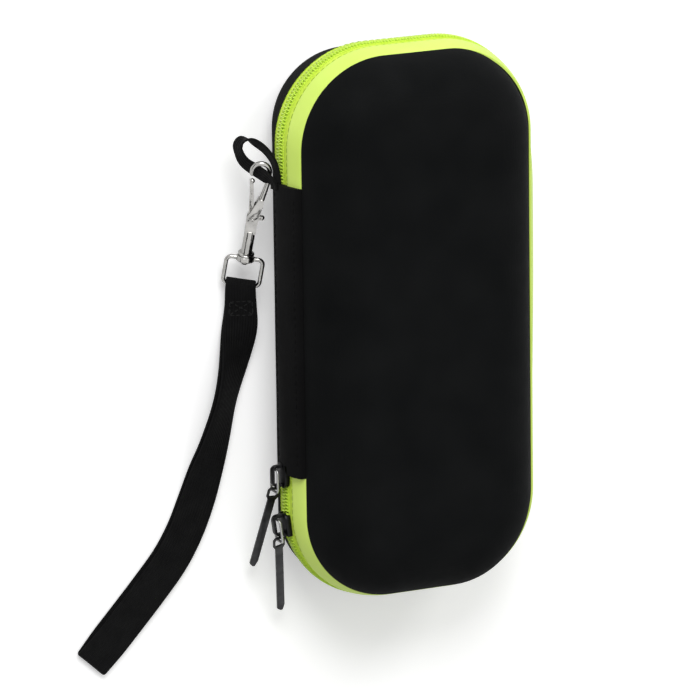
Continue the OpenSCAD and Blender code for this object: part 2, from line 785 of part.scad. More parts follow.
// Wrist strap: middle line of its two layers relative to the bail's lower bar, as it lies,
// then how far its left edge is lifted, in degrees, and the share of the full width
strap_rows = [
    [[0.2, -5, -0.7], -21, 0.1],
    [[0.4, -10, -1.2], -18, 0.3],
    [[0, -18, -1.7], -8, 0.75],
    [[-2.6, -30.4, -1.5], 20, 1],
    [[-7.6, -46, 0.3], 36, 1],
    [[-12, -63, -1], 24, 1],
    [[-15.4, -75, -2.9], 9, 1],
    [[-19.2, -87.2, -4.1], 0, 1],
    [[-24.4, -99.2, -4.1], 0, 1],
    [[-31.2, -110.4, -4.1], 0, 1],
    [[-40.6, -121.5, -4.1], 0, 1],
    [[-53, -135, -4.1], 0, 1],
    [[-65.5, -148.3, -4.1], 0, 1]];
strap_steps = 2;
bar_place = hook_origin + (bail_bar_y - bail_l) * hook_y;

module wrist_strap() {
    offset_n = (strap_t + strap_gap) / 2;
    bar_n = bail_wire / 2 + 0.35 + strap_t / 2;
    count = (len(strap_rows) - 1) * strap_steps;
    places = [for (row = strap_rows) row[0] + bar_place];
    lifts = [for (row = strap_rows) [row[1], row[2]]];
    line = [for (k = [0:count]) smooth(places, k / strap_steps)];
    turn = [for (k = [0:count]) smooth(lifts, k / strap_steps)];
    along = [for (k = [0:count]) unit(line[min(k + 1, count)] - line[max(k - 1, 0)])];
    level = [for (k = [0:count]) flat_to(cross(along[k], [0, 0, 1]), along[k])];
    above = [for (k = [0:count]) cross(level[k], along[k])];
    side = [for (k = [0:count]) -cos(turn[k][0]) * level[k] - sin(turn[k][0]) * above[k]];
    up = [for (k = [0:count]) cross(along[k], side[k])];
    wide = [for (k = [0:count]) strap_neck_w + (strap_w - strap_neck_w) * min(1, max(0, turn[k][1]))];
    spread = [for (k = [0:count]) k == 0 ? bar_n * 0.8 : offset_n];
    upper = [for (k = [0:count]) [line[k] + spread[k] * up[k], side[k], wide[k]]];
    lower = [for (k = [count:-1:0]) [line[k] - spread[k] * up[k], side[k], wide[k]]];
    fold = [for (a = [60, 0, -60])
        [line[count] + offset_n * (cos(a) * 1.2 * along[count] + sin(a) * up[count]),
            side[count], wide[count]]];
    round_bar = [for (a = [-80:32:80])
        [bar_place + bar_n * (cos(a) * hook_y + sin(a) * hook_z), hook_x, strap_neck_w]];
    color(black) webbing(concat(round_bar, upper, fold, lower), strap_t, true);
}

back_shell();
back_lining();
back_tape();
back_teeth();
spine();
hang_loop();
retaining_band();
front_shell();
front_lining();
front_trim();
front_tape();
front_teeth();
mesh_pocket();
pocket_hem();
slider_a();
link_a();
tab_a();
slider_b();
link_b();
tab_b();
hook_body();
gate_lever();
gate_pin();
gate_spring();
swivel_rivet();
bail();
wrist_strap();
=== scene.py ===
# %% [markdown]
# # An electric shaver hard case, dressed in Blender
# The case is two moulded foam halves under black cloth, joined by a cloth spine on the left
# and a bright zip round the other three sides. A snap hook with a folded webbing strap hangs
# from a small loop at the spine's upper end. The engineered solids arrive as a fixed frame in
# metres, and each cell below dresses one of their pieces. Loading comes first, because every
# later piece is placed by that frame's numbers.

# %% Load the frame
import math

import bmesh
import bpy
import numpy as np
from mathutils import Matrix, Vector


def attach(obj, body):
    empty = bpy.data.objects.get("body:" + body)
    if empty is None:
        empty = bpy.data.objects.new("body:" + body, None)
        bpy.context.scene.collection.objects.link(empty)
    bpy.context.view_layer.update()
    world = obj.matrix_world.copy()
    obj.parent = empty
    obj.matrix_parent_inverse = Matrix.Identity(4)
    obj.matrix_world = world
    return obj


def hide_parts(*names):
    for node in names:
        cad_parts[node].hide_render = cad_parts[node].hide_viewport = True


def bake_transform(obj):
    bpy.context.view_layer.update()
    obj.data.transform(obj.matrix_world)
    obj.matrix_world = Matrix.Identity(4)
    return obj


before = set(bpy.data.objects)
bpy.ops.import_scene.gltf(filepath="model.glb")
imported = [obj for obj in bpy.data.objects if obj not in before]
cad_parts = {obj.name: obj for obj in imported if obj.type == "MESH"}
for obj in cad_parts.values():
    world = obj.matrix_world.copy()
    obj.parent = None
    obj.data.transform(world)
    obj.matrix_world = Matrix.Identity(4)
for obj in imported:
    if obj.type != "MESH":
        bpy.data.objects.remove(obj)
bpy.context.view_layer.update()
MM = 0.001

# %% [markdown]
# ## The camera
# The photograph is a long-lens view from above and a little to the left, with the case's
# length slightly tilted. A camera is a matrix whose columns are its right, up and backward
# directions, so those three are written down and turned by the small roll that the case's
# edges show. A lens of over 300 mm from 2.5 m away gives the photograph's flat perspective.

# %% Camera
def into_scene(name, data):
    """Put a new object with this data into the scene."""
    item = bpy.data.objects.new(name, data)
    bpy.context.scene.collection.objects.link(item)
    return item


view_back = Vector((-0.4075, 0.2441, 0.8799)).normalized()
view_right = Vector((0.9074, 0.0, 0.4203)).normalized()
view_up = view_back.cross(view_right)
roll = math.radians(-0.79)
right = math.cos(roll) * view_right + math.sin(roll) * view_up
up = math.cos(roll) * view_up - math.sin(roll) * view_right
distance, frame_width, sensor = 2.5, 0.2789, 36
case_middle, left_shift, down_shift = Vector((0, 0, 0.027)), 0.02126, 0.01368
aim = case_middle - left_shift * right - down_shift * up
camera = into_scene("camera", bpy.data.cameras.new("camera"))
camera.data.sensor_width = sensor
camera.data.lens = sensor * distance / frame_width
camera.data.clip_end = 20
place = Matrix((right, up, view_back)).transposed().to_4x4()
place.translation = aim + distance * view_back
camera.matrix_world = place
bpy.context.scene.camera = camera
print("lens", round(camera.data.lens, 1), "mm")

# %% [markdown]
# ## Shader building blocks
# Every finish below is a Principled shader with a few textures in front of it. Two helpers
# keep that short: one makes a material and sets the shader's plain numbers on its own
# sockets, and one adds a node with its settings and links. Cloth needs threads, so another
# gives a wave along one direction. Multiplied with the wave of a second direction, it makes
# each thread rise and dip as it crosses the others.

# %% Material helpers
def socket_name(key):
    """A setting as it is written in code, such as sheen_weight, turned into its socket's name."""
    return key.replace("_", " ").title().replace("Ior", "IOR")


def new_finish(name, **settings):
    material = bpy.data.materials.new(name)
    material.use_nodes = True
    shader = material.node_tree.nodes["Principled BSDF"]
    for key, value in settings.items():
        shader.inputs[socket_name(key)].default_value = value
    return material, material.node_tree, shader


def add(tree, kind, links=None, **settings):
    node = tree.nodes.new(kind)
    for key, value in settings.items():
        if socket_name(key) in node.inputs:
            node.inputs[socket_name(key)].default_value = value
        else:
            setattr(node, key, value)
    for key, source in (links or {}).items():
        tree.links.new(source, node.inputs[key])
    return node


def combine(tree, operation, a, b):
    node = add(tree, "ShaderNodeMath", operation=operation)
    for socket, value in zip(node.inputs, (a, b)):
        if isinstance(value, (int, float)):
            socket.default_value = value
        else:
            tree.links.new(value, socket)
    return node.outputs[0]


def remap(tree, value, low, high, start=0.0, end=1.0):
    """Numbers from start to end become numbers from low to high."""
    return add(tree, "ShaderNodeMapRange", {"Value": value}, from_min=start, from_max=end,
               to_min=low, to_max=high).outputs[0]


def coordinates(tree, kind="Object"):
    return add(tree, "ShaderNodeTexCoord").outputs[kind]


def thread_wave(tree, coords, axis, pitch):
    """A wave of one bump per pitch along an axis; a wave texture's own period is 0.314 / scale."""
    return add(tree, "ShaderNodeTexWave", {"Vector": coords}, bands_direction=axis,
               wave_profile="SIN", scale=math.pi / 10 / pitch).outputs["Fac"]


def wandering(tree, coords, amount):
    """Threads are never quite straight: a slow noise pushes the coordinates about a little."""
    noise = add(tree, "ShaderNodeTexNoise", {"Vector": coords}, scale=90, detail=2.0)
    centred = add(tree, "ShaderNodeVectorMath", {0: noise.outputs["Color"]}, operation="SUBTRACT")
    centred.inputs[1].default_value = (0.5, 0.5, 0.5)
    shift = add(tree, "ShaderNodeVectorMath", {0: centred.outputs[0]}, operation="SCALE",
                scale=amount * 3)
    return add(tree, "ShaderNodeVectorMath", {0: coords, 1: shift.outputs[0]}).outputs[0]


def bump(tree, shader, height, depth, strength):
    node = add(tree, "ShaderNodeBump", {"Height": height}, distance=depth, strength=strength)
    tree.links.new(node.outputs[0], shader.inputs["Normal"])


noise_span = (0.3, 0.7)


def vary(tree, shader, coords, low, high, scale, socket="Base Color"):
    """A soft mottle between two colours, or two numbers, over the surface."""
    noise = add(tree, "ShaderNodeTexNoise", {"Vector": coords}, scale=scale, detail=4.0)
    if isinstance(low, (int, float)):
        mottle = remap(tree, noise.outputs["Fac"], low, high, *noise_span)
    else:
        ramp = add(tree, "ShaderNodeValToRGB", {"Fac": noise.outputs["Fac"]})
        for stop, place, colour in zip(ramp.color_ramp.elements, noise_span, (low, high)):
            stop.position, stop.color = place, (*colour, 1)
        mottle = ramp.outputs[0]
    tree.links.new(mottle, shader.inputs[socket])


print("helpers ready")

# %% [markdown]
# ## Cloth finishes
# The shells' cloth is a fine, matt plain weave, so it is nearly black with a faint sheen that
# lights up where the surface turns away. Waves along all three axes are used, because the
# cloth wraps faces that point every way. The zip tape is a ribbed weave in bright lime, and
# the edge band is a smoother, paler strip. Webbing is coarser: its ribs run along its length.

# %% Cloth materials
def shell_cloth(name, dark, light, pitch, rough, sheen):
    material, tree, shader = new_finish(name, sheen_weight=sheen, sheen_roughness=0.5,
                                        specular_ior_level=0.04)
    coords = wandering(tree, coordinates(tree), pitch)
    height = combine(tree, "MULTIPLY", thread_wave(tree, coords, "X", pitch),
                     thread_wave(tree, coords, "Y", pitch))
    height = combine(tree, "ADD", height, thread_wave(tree, coords, "Z", pitch))
    vary(tree, shader, coords, dark, light, 55)
    vary(tree, shader, coords, rough - 0.06, rough + 0.06, 220, socket="Roughness")
    bump(tree, shader, height, pitch * 0.12, 0.45)
    return material


def ribbed_cloth(name, dark, light, rib, weft, rough, sheen, depth=0.3):
    """Webbing and tape: ribs along the length, crossed by finer weft, from the ribbon's own map."""
    material, tree, shader = new_finish(name, sheen_weight=sheen, sheen_roughness=0.4,
                                        specular_ior_level=0.06)
    coords = coordinates(tree, "UV")
    ribs = thread_wave(tree, coords, "X", rib)
    cross = thread_wave(tree, coords, "Y", weft)
    height = combine(tree, "ADD", ribs, combine(tree, "MULTIPLY", cross, 0.6))
    vary(tree, shader, coords, dark, light, 160)
    vary(tree, shader, coords, rough - 0.08, rough + 0.08, 900, socket="Roughness")
    bump(tree, shader, height, rib * depth, 0.8)
    return material


black_cloth = shell_cloth("shell_cloth", (0.0034, 0.0038, 0.0040), (0.0056, 0.0060, 0.0062),
                          0.45 * MM, 0.8, 0.012)
spine_cloth = shell_cloth("spine_cloth", (0.0034, 0.0034, 0.0036), (0.0054, 0.0054, 0.0056),
                          0.5 * MM, 0.76, 0.012)
lining_cloth = shell_cloth("lining_cloth", (0.028, 0.028, 0.030), (0.045, 0.045, 0.048),
                           0.8 * MM, 0.9, 0.3)
tape_cloth = ribbed_cloth("zip_tape", (0.55, 0.77, 0.055), (0.64, 0.84, 0.095),
                          0.55 * MM, 0.4 * MM, 0.7, 0.05, 0.15)
# The seam thread is a darker green than the tape: painted shade along the line where the band meets
# the tape, laid on real stitches.
seam_shade_thread = ribbed_cloth("seam_painted_shade_thread", (0.22, 0.36, 0.02), (0.30, 0.45, 0.03),
                          0.2 * MM, 0.3 * MM, 0.7, 0.05)
# The strap's thread is lighter than the webbing: painted highlight on the seam's stitches.
strap_thread_painted_highlight = ribbed_cloth("strap_thread_painted_highlight", (0.010, 0.010, 0.010), (0.020, 0.020, 0.020),
                            0.2 * MM, 0.3 * MM, 0.6, 0.1)
webbing_cloth = ribbed_cloth("webbing", (0.0036, 0.0036, 0.0038), (0.0062, 0.0062, 0.0064),
                             1.1 * MM, 0.5 * MM, 0.7, 0.03, 0.16)
elastic_cloth = ribbed_cloth("elastic", (0.018, 0.018, 0.019), (0.030, 0.030, 0.032),
                             0.9 * MM, 1.4 * MM, 0.8, 0.2)
print("cloth finishes ready")

# %% [markdown]
# ## Smooth band, nylon and metal finishes
# The edge band has a coated face with only a faint grain, and dirt makes it a little darker
# in broad patches. The coil is moulded nylon, so it is the glossiest lime. The sliders are
# black nickel, their wire links a pale satin nickel, and the pullers a lighter gunmetal. The
# hook is bright chrome on a casting. Its roughness varies a little, and slow waves under the
# plating break what it reflects into streaks.

# %% Band, coil and metal materials
def edge_band():
    material, tree, shader = new_finish("edge_band", specular_ior_level=0.35, sheen_weight=0.05)
    coords = coordinates(tree)
    vary(tree, shader, coords, (0.55, 0.74, 0.11), (0.65, 0.84, 0.16), 30)
    vary(tree, shader, coords, 0.5, 0.62, 400, socket="Roughness")
    grain = add(tree, "ShaderNodeTexNoise", {"Vector": coords}, scale=2600, detail=3.0)
    bump(tree, shader, grain.outputs["Fac"], 0.05 * MM, 0.5)
    return material


def coil_nylon():
    material, tree, shader = new_finish("coil_nylon", specular_ior_level=0.5)
    coords = coordinates(tree)
    vary(tree, shader, coords, (0.50, 0.72, 0.05), (0.62, 0.84, 0.09), 700)
    vary(tree, shader, coords, 0.3, 0.42, 500, socket="Roughness")
    return material


def metal(name, dark, light, rough, spread, scratch, cast=0.0):
    """cast is the height of the slow waves that a casting keeps under its plating, in mm."""
    material, tree, shader = new_finish(name, metallic=1.0)
    coords = coordinates(tree)
    vary(tree, shader, coords, dark, light, 260)
    vary(tree, shader, coords, rough - spread, rough + spread, 420, socket="Roughness")
    lines = add(tree, "ShaderNodeMapping", {"Vector": coords}, scale=(9000, 700, 3000))
    fine = add(tree, "ShaderNodeTexNoise", {"Vector": lines.outputs[0]}, scale=1.0, detail=2.0)
    slow = add(tree, "ShaderNodeTexNoise", {"Vector": coords}, scale=420, detail=1.0)
    height = combine(tree, "ADD", combine(tree, "MULTIPLY", fine.outputs["Fac"], scratch),
                     combine(tree, "MULTIPLY", slow.outputs["Fac"], cast))
    bump(tree, shader, height, MM, 0.5)
    return material


band_finish = edge_band()
coil_finish = coil_nylon()
black_nickel = metal("black_nickel", (0.012, 0.012, 0.013), (0.028, 0.028, 0.030), 0.34, 0.06, 0.01)
gunmetal = metal("gunmetal", (0.030, 0.030, 0.031), (0.058, 0.058, 0.060), 0.36, 0.06, 0.02, 0.1)
satin_nickel = metal("satin_nickel", (0.36, 0.36, 0.36), (0.46, 0.46, 0.46), 0.36, 0.06, 0.01)
chrome = metal("bright_chrome", (0.42, 0.415, 0.40), (0.56, 0.55, 0.53), 0.14, 0.05, 0.006, 0.25)
print("band, coil and metal finishes ready")

# %% [markdown]
# ## Making a piece
# All pieces are plain meshes, so what they share is done once. A mesh gets its material,
# smooth faces with sharp edges where they turn by much, and its place in the scene. Then it
# is said which body the piece rides on and which solids it stands for. Most pieces are built
# from points and faces, and each face corner gets its place along and across the piece for
# the ribbed finishes. Nearly all are rings of points that follow each other, so one function
# lays the faces between rings.

# %% Piece helpers
def finish_piece(name, mesh, material, body, solids, sharp):
    mesh.materials.clear()
    mesh.materials.append(material)
    mesh.shade_smooth()
    mesh.set_sharp_from_angle(angle=math.radians(sharp))
    piece = into_scene(name, mesh)
    if body:
        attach(piece, body)
    if solids:
        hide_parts(*solids)
    print(name, len(mesh.vertices), "points")
    return piece


def make_piece(name, points, faces, material, body, solids, maps=None, sharp=35):
    mesh = bpy.data.meshes.new(name)
    mesh.from_pydata([tuple(p) for p in points], [], faces)
    mesh.validate()
    if maps is not None:
        layer = mesh.uv_layers.new(name="along")
        corners = np.zeros(len(mesh.loops), np.int32)
        mesh.loops.foreach_get("vertex_index", corners)
        layer.data.foreach_set("uv", np.asarray(maps, np.float32)[corners].ravel())
    work = bmesh.new()
    work.from_mesh(mesh)
    bmesh.ops.recalc_face_normals(work, faces=work.faces)
    work.to_mesh(mesh)
    work.free()
    return finish_piece(name, mesh, material, body, solids, sharp)


def ring_faces(rings, sides, first=0, joined=False, wrapped=True, capped=True):
    """Faces between rings of points. Joined: the last ring meets the first. Wrapped: each ring
    closes on itself. Capped: a face closes each end, where the rings aren't joined."""
    faces = []
    for i in range(rings if joined else rings - 1):
        a, b = first + i * sides, first + (i + 1) % rings * sides
        faces += [(a + j, a + (j + 1) % sides, b + (j + 1) % sides, b + j)
                  for j in range(sides if wrapped else sides - 1)]
    if capped and not joined:
        last = first + (rings - 1) * sides
        faces += [tuple(range(first, first + sides)), tuple(range(last, last + sides))]
    return faces


print("piece helpers ready")

# %% [markdown]
# ## Walking round the case
# Shells, band, tape and coil all follow one rounded rectangle, so it is worth a function of
# its own. It walks from the middle of the left side down and round, and gives for each
# distance the point on the outline and the direction that faces out. A section can then be
# carried along any stretch of it, like piping squeezed from a bag.

# %% Case outline
case_w, case_l, corner_r = 105 * MM, 224 * MM, 38.5 * MM
back_corner_r, zip_z = 34 * MM, 27 * MM
spine_half, tail_notch = 57.5 * MM, 3.5 * MM


def outline_at(s, r=corner_r):
    cx, cy = case_w / 2 - r, case_l / 2 - r
    quarter = r * math.pi / 2
    for start, run, centre in (((-case_w / 2, 0), (0, -1), (-cx, -cy)),
                               ((-cx, -case_l / 2), (1, 0), (cx, -cy)),
                               ((case_w / 2, -cy), (0, 1), (cx, cy)),
                               ((cx, case_l / 2), (-1, 0), (-cx, cy)),
                               ((-case_w / 2, cy), (0, -1), None)):
        long = cy if start[1] == 0 else 2 * (cx if run[0] else cy)
        facing = Vector((run[1], -run[0], 0))
        if s <= long or centre is None:
            return Vector((*start, 0)) + s * Vector((*run, 0)), facing
        s -= long
        if s <= quarter:
            turned = Matrix.Rotation(s / r, 3, "Z") @ facing
            return Vector((*centre, 0)) + r * turned, turned
        s -= quarter


def outline_length(r=corner_r):
    return 4 * (case_w / 2 - r) + 4 * (case_l / 2 - r) + 2 * math.pi * r


def stations_between(low, high, step=1.6 * MM):
    count = max(2, int(round((high - low) / step)) + 1)
    return [low + (high - low) * i / (count - 1) for i in range(count)]


def ease(value, low, high):
    """0 below low, 1 above high and a soft ramp between."""
    t = min(1.0, max(0.0, (value - low) / (high - low)))
    return t * t * (3 - 2 * t)


swell_most = 2.6 * MM
swell_rise, swell_build, swell_fall = (205, 275), (240, 320), (345, 385)


def swell(s):
    """How far the soft zip stands out on the long right side, away from the spine's pull. The
    rise, the build and the fall are stretches of the outline in millimetres."""
    s = s / MM
    shape = ease(s, *swell_rise) * (1 - ease(s, *swell_fall))
    return swell_most * (shape * (0.6 + 0.4 * ease(s, *swell_build)))


print("outline", round(outline_length() * 1000, 1), "mm")

# %% [markdown]
# ## Carrying a section along
# The section is a list of places across: how far out from the outline, and how high. For a
# full ring the section stays open and the last station joins the first. For a stretch the
# section is closed and both ends are capped. A soft piece can also swell: its outer places
# then move out by the zip's own swell there. The map stores metres across and along, so that
# a rib or a stitch keeps its real size. Along the zip all sections are written in millimetres
# from its middle, so a second function turns such a section into a piece.

# %% Sweep round the case
soft_depth = 1.2 * MM


def sweep(section, stops, r=corner_r, ring=False, swells=None):
    points, maps = [], []
    across = [0.0]
    for a, b in zip(section, section[1:]):
        across.append(across[-1] + math.dist(a, b))
    for s in stops:
        base, facing = outline_at(s, r)
        for (out, high), wide in zip(section, across):
            if swells and out > -soft_depth:
                out += swell(s) * swells(high)
            points.append(base + out * facing + Vector((0, 0, high)))
            maps.append((wide, s))
    faces = ring_faces(len(stops), len(section), joined=ring, wrapped=not ring)
    return points, faces, maps


def swept_piece(name, section, stops, material, body, solids, swells=None, side=1):
    """The section is in millimetres, out from the outline and up from the zip's middle; side
    is -1 for the back half, where it is mirrored."""
    section = [(out * MM, zip_z + side * high * MM) for out, high in section]
    points, faces, maps = sweep(section, stops, swells=swells)
    return make_piece(name, points, faces, material, body, solids, maps)


def full_ring(r, step=2.2 * MM):
    return stations_between(0, outline_length(r), step)[:-1]


print("stations on the band", len(full_ring(corner_r)))

# %% [markdown]
# ## The two moulded halves
# A half is a dome: a wall that leans in, a large soft edge and a flat face. Drawing that
# profile once and carrying it round gives even faces on the soft edge, which light reveals
# at once. The cloth is glued over foam, so it isn't perfectly even, and a slow ripple of a
# tenth of a millimetre breaks the highlight as it does on the real one. The ripple fades out
# towards the flat middle, which one large face closes.

# %% Dome profiles
def dome_arc(start_d, start_h, round_r, depth, count=22):
    """From the wall's top to the flat: (distance in from the outline, height above the zip)."""
    flat_d = start_d + math.sqrt(round_r ** 2 - (start_h - depth + round_r) ** 2)
    first = math.atan2(start_h - depth + round_r, flat_d - start_d)
    turns = [first + (math.pi / 2 - first) * i / (count - 1) for i in range(count)]
    return [(flat_d - round_r * math.cos(t), depth - round_r + round_r * math.sin(t))
            for t in turns]


def cloth_wave(p):
    """A slow unevenness of the cloth over the foam, between about -1.6 and 1.6."""
    return (math.sin(p.x * 95 + 1.3) * math.sin(p.y * 71 + 0.4)
            + 0.6 * math.sin(p.y * 143 - p.x * 60))


rippled_from, ripple_end = 15, 30
lean_across, lean_up = (8, 40), (8, 16)


def dome_shell(name, outer, inner, r, side, material, body, solids, slot, ripple=0.0, lean=0.0):
    """side is 1 for the front half and -1 for the back; profiles run from the rim to the flat.
    The cloth of the right side leans in a little above the band, by lean."""
    reach = r * 1000 - 0.6
    edge, flat = outer[-1]
    outer = outer + [(edge + (reach - edge) * f, flat) for f in (0.33, 0.66, 1)]
    profile = [(reach, inner[-1][1])] + inner[::-1] + outer
    stops = full_ring(r)
    section = [(-d * MM, zip_z + side * h * MM) for d, h in profile]
    points, faces, maps = sweep(section, stops, r, ring=True)
    n, k = len(stops), len(section)
    faces += [tuple(i * k for i in range(n)), tuple(i * k + k - 1 for i in range(n))]
    for index, p in enumerate(points):
        d, h = profile[index % k]
        if index % k <= len(inner):
            continue
        if h > rippled_from:
            p.z += side * ripple * max(0.0, 1 - d / ripple_end) * cloth_wave(p)
        if lean:
            p.x -= lean * ease(p.x / MM, *lean_across) * ease(h, *lean_up)
    return make_piece(name, points, faces, material, body, solids, maps)


wall, rim_h = 3.2, 5.9
front_depth, front_round, back_depth, back_round = 31, 22, 27, 16
front_foam = (5.5, 14.6, front_round - wall, front_depth - wall)
back_foam = (4.196, 13.17, back_round - wall, back_depth - wall)
front_skin = [(1.0, rim_h), (wall, 14.2), (2.95, 14.42), (2.45, 14.45)]
front_skin += dome_arc(2.3, 14.6, front_round, front_depth)
back_skin = [(2.3, rim_h), (2.1, 6.2), (2.15, 7.0)]
back_skin += dome_arc(3.1, 13.17, back_round, back_depth)
dome_shell("front_half", front_skin, [(wall, rim_h), (5.5, 14.4)] + dome_arc(*front_foam), corner_r,
           1, black_cloth, "lid", ["front_shell"], "shell_fabric", 0.07 * MM, 1.8 * MM)
dome_shell("back_half", back_skin, [(wall, rim_h)] + dome_arc(*back_foam), back_corner_r,
           -1, black_cloth, "base", ["back_shell"], "shell_fabric", 0.07 * MM)

# %% [markdown]
# ## The linings
# Each half is lined with a thin brushed cloth, glued to the foam. It is a second, thinner
# dome just inside the first one, so the same function makes it. Its rim ends where the zip
# tape is sewn on, which shows as a soft line when the case is open. It was cut flat, as wide
# and as long as the half and its walls, and then pulled over the mould.

# %% Linings
glue_t, lining_t = 0.05, 0.8


def lining(half, foam, lower, r, side, body):
    """A cloth over the foam's arc and the wall below it, with a near face and a far one."""
    start_d, start_h, round_r, depth = foam
    profiles = []
    for inset in (glue_t, glue_t + lining_t):
        profiles.append([(d + inset, h) for d, h in lower]
                        + dome_arc(start_d + inset, start_h, round_r - inset, depth - inset))
    cloth = dome_shell(half + "_lining_cloth", *profiles, r, side, lining_cloth, body,
                       [half + "_lining"], "lining")


lining("front", front_foam, [(wall, rim_h), (5.45, 14.4)], corner_r, 1, "lid")
lining("back", back_foam, [(wall, rim_h)], back_corner_r, -1, "base")

# %% [markdown]
# ## The bright edge band
# A coated strip is bonded round the front half's rim. It is slightly crowned, with rolled
# edges, and its two ends are cut straight where the spine begins. The zip tape is sewn on
# just under its lower edge, and a later cell lays those stitches.

# %% Edge band
band_section = [(-0.95, 5.93), (-0.3, 5.93), (-0.02, 6.15), (0.0, 6.5), (-0.22, 7.6), (-0.55, 9.0),
                (-0.95, 10.6), (-1.42, 12.2), (-1.95, 13.6), (-2.25, 14.15), (-2.5, 14.36),
                (-3.2, 14.36)]
swell_fade = 6 * MM


def band_swell(z):
    """The band's lower edge swells with the zip, and what lies above it less and less."""
    return max(0, 1 - (z - zip_z - rim_h * MM) / swell_fade)


band_track = stations_between(spine_half, outline_length() - spine_half)
swept_piece("edge_band_strip", band_section, band_track, band_finish, "lid", ["front_trim"],
            band_swell)

# %% [markdown]
# ## The zip tape
# Each side of the zip is a woven tape, sewn to its half along the rim and carrying the coil
# along its free edge. It bows out a little. A fine cord of sewing thread on each side holds
# the coil. It is modelled, because a bump alone would vanish from the exported mesh. It is
# modelled as a cord and not left to a bump. The same section mirrored about the zip's middle
# makes the other side.

# %% Zip tapes
halves = (("front", 1, "lid"), ("back", -1, "base"))
tape_track = stations_between(spine_half - tail_notch, outline_length() - spine_half)
tape_section = [(-3.2, 5.88), (-3.2, 5.25), (-1.0, 5.2), (-1.0, 1.4), (-0.34, 1.4), (-0.22, 2.4),
                (-0.16, 3.6), (-0.2, 4.8), (-0.34, 5.88)]


def zip_swell(z):
    """The zip's middle and the front side swell fully, the back tape less and less."""
    return 1 - 0.5 * max(0, (zip_z - z) / swell_fade)


thread_out, thread_up, thread_r = -0.1, 2.75, 0.28
thread_section = [(thread_out + thread_r * math.cos(t), thread_up + thread_r * math.sin(t))
                  for t in (math.pi * i / 3 for i in range(6))]
for half, side, body in halves:
    swept_piece(half + "_zip_tape", tape_section, tape_track, tape_cloth, body, [half + "_tape"],
                zip_swell, side)
for half, side, body in halves:
    swept_piece(half + "_coil_thread", thread_section, tape_track, tape_cloth, body, (),
                zip_swell, side)

# %% [markdown]
# ## The coil
# A nylon coil zip is a spiral of plastic wire sewn along each tape. From outside, only the
# front of each turn shows: a rounded bar that reaches from its tape across the middle, and
# the bars of the two sides lie between each other. One bar is built from five rounded
# sections, and copies of it are set every 1.35 mm. Behind them runs the cord that the wire is
# wound about, so the gaps look lime and not dark. Between the two sliders the zip is parted,
# so there the bars and their cord stop a little short of the middle. Where the zip parts
# inside a slider, the cord is left out.

# %% Zip coil
coil_pitch, bar_out = 1.35 * MM, 0.28
bar_rings = ((2.5, 0.30, 0.35), (1.9, 0.40, 0.5), (0.6, 0.42, 0.55), (-0.25, 0.46, 0.6),
             (-0.7, 0.28, 0.36))
slider_a_s, slider_b_turn = 59.0 * MM, math.radians(8)
slider_b_s = case_l / 2 - corner_r + corner_r * slider_b_turn
parted = (slider_a_s + 2.2 * MM, slider_b_s - 2.2 * MM)
between_sliders = (slider_a_s + 5.2 * MM, slider_b_s - 5.2 * MM)


def parted_height(height, s):
    """Between the sliders a bar stops short of the middle, most of all near a slider."""
    away = (2 * s - parted[0] - parted[1]) / (parted[1] - parted[0])
    return max(height, height * 0.35 + 0.5 + 0.7 * away ** 2)


def coil_side(name, side, shift, body, solid):
    """All bars of one side. A bar ring is its height, half width and half thickness in mm."""
    points, faces = [], []
    low, high = tape_track[0], tape_track[-1]
    for i in range(int((high - low - shift) / coil_pitch)):
        s = low + shift + i * coil_pitch
        base, facing = outline_at(s)
        base = base + swell(s) * facing
        along = facing.cross(Vector((0, 0, 1)))
        faces += ring_faces(len(bar_rings), 6, len(points))
        for height, half_w, half_t in bar_rings:
            h = parted_height(height, s) if parted[0] < s < parted[1] else height
            for t in range(6):
                turn = math.pi * (2 * t + 1) / 6
                points.append(base + Vector((0, 0, zip_z + side * h * MM))
                              + along * half_w * MM * math.cos(turn)
                              + facing * (bar_out + half_t * math.sin(turn)) * MM)
    make_piece(name, points, faces, coil_finish, body, [solid], sharp=60)


core_section = [(-0.9, 0.05), (-0.4, 0.05), (-0.34, 0.3), (-0.34, 0.8), (0.0, 0.95), (0.08, 1.2),
                (0.08, 2.2), (0.0, 2.5), (-0.28, 2.6), (-0.9, 2.6)]
core_stretches = (("low", tape_track[0], parted[0], 0), ("short", *between_sliders, 0.4),
                  ("long", parted[1], tape_track[-1], 0))
for half, side, body in halves:
    for part, low, high, least in core_stretches:
        section = [(out, max(up, least)) for out, up in core_section]
        swept_piece(half + "_coil_core_" + part, section, stations_between(low, high), tape_cloth,
                    body, (), zip_swell, side)
coil_side("front_coil", 1, 0.5 * MM, "lid", "front_teeth")
coil_side("back_coil", -1, 0.5 * MM + coil_pitch / 2, "base", "back_teeth")

# %% [markdown]
# ## Stitches
# Sewing shows as short threads that dive into the cloth at both ends. A stitch is a small
# bowed spindle: thin at its ends, fat in the middle and lifted a little there. Given a line
# of places with the surface's facing direction, this helper sews the whole row as one piece.

# %% Stitch helper
spindle = ((0, 0.25), (0.2, 0.85), (0.5, 1.0), (0.8, 0.85), (1, 0.25))


def sew(name, rows, material, body, thick=0.22 * MM, lift=0.14 * MM):
    """rows holds (start, end, facing) for each stitch; spindle is (place along, thickness)."""
    points, faces = [], []
    for start, end, facing in rows:
        along = (end - start).normalized()
        across = along.cross(facing).normalized()
        faces += ring_faces(len(spindle), 6, len(points))
        for f, size in spindle:
            centre = start.lerp(end, f) + facing * (lift * math.sin(math.pi * f) - 0.25 * thick)
            for t in range(6):
                turn = math.pi * t / 3
                rim = math.cos(turn) * across + math.sin(turn) * facing
                points.append(centre + size * thick * rim)
    return make_piece(name, points, faces, material, body, (), sharp=80)


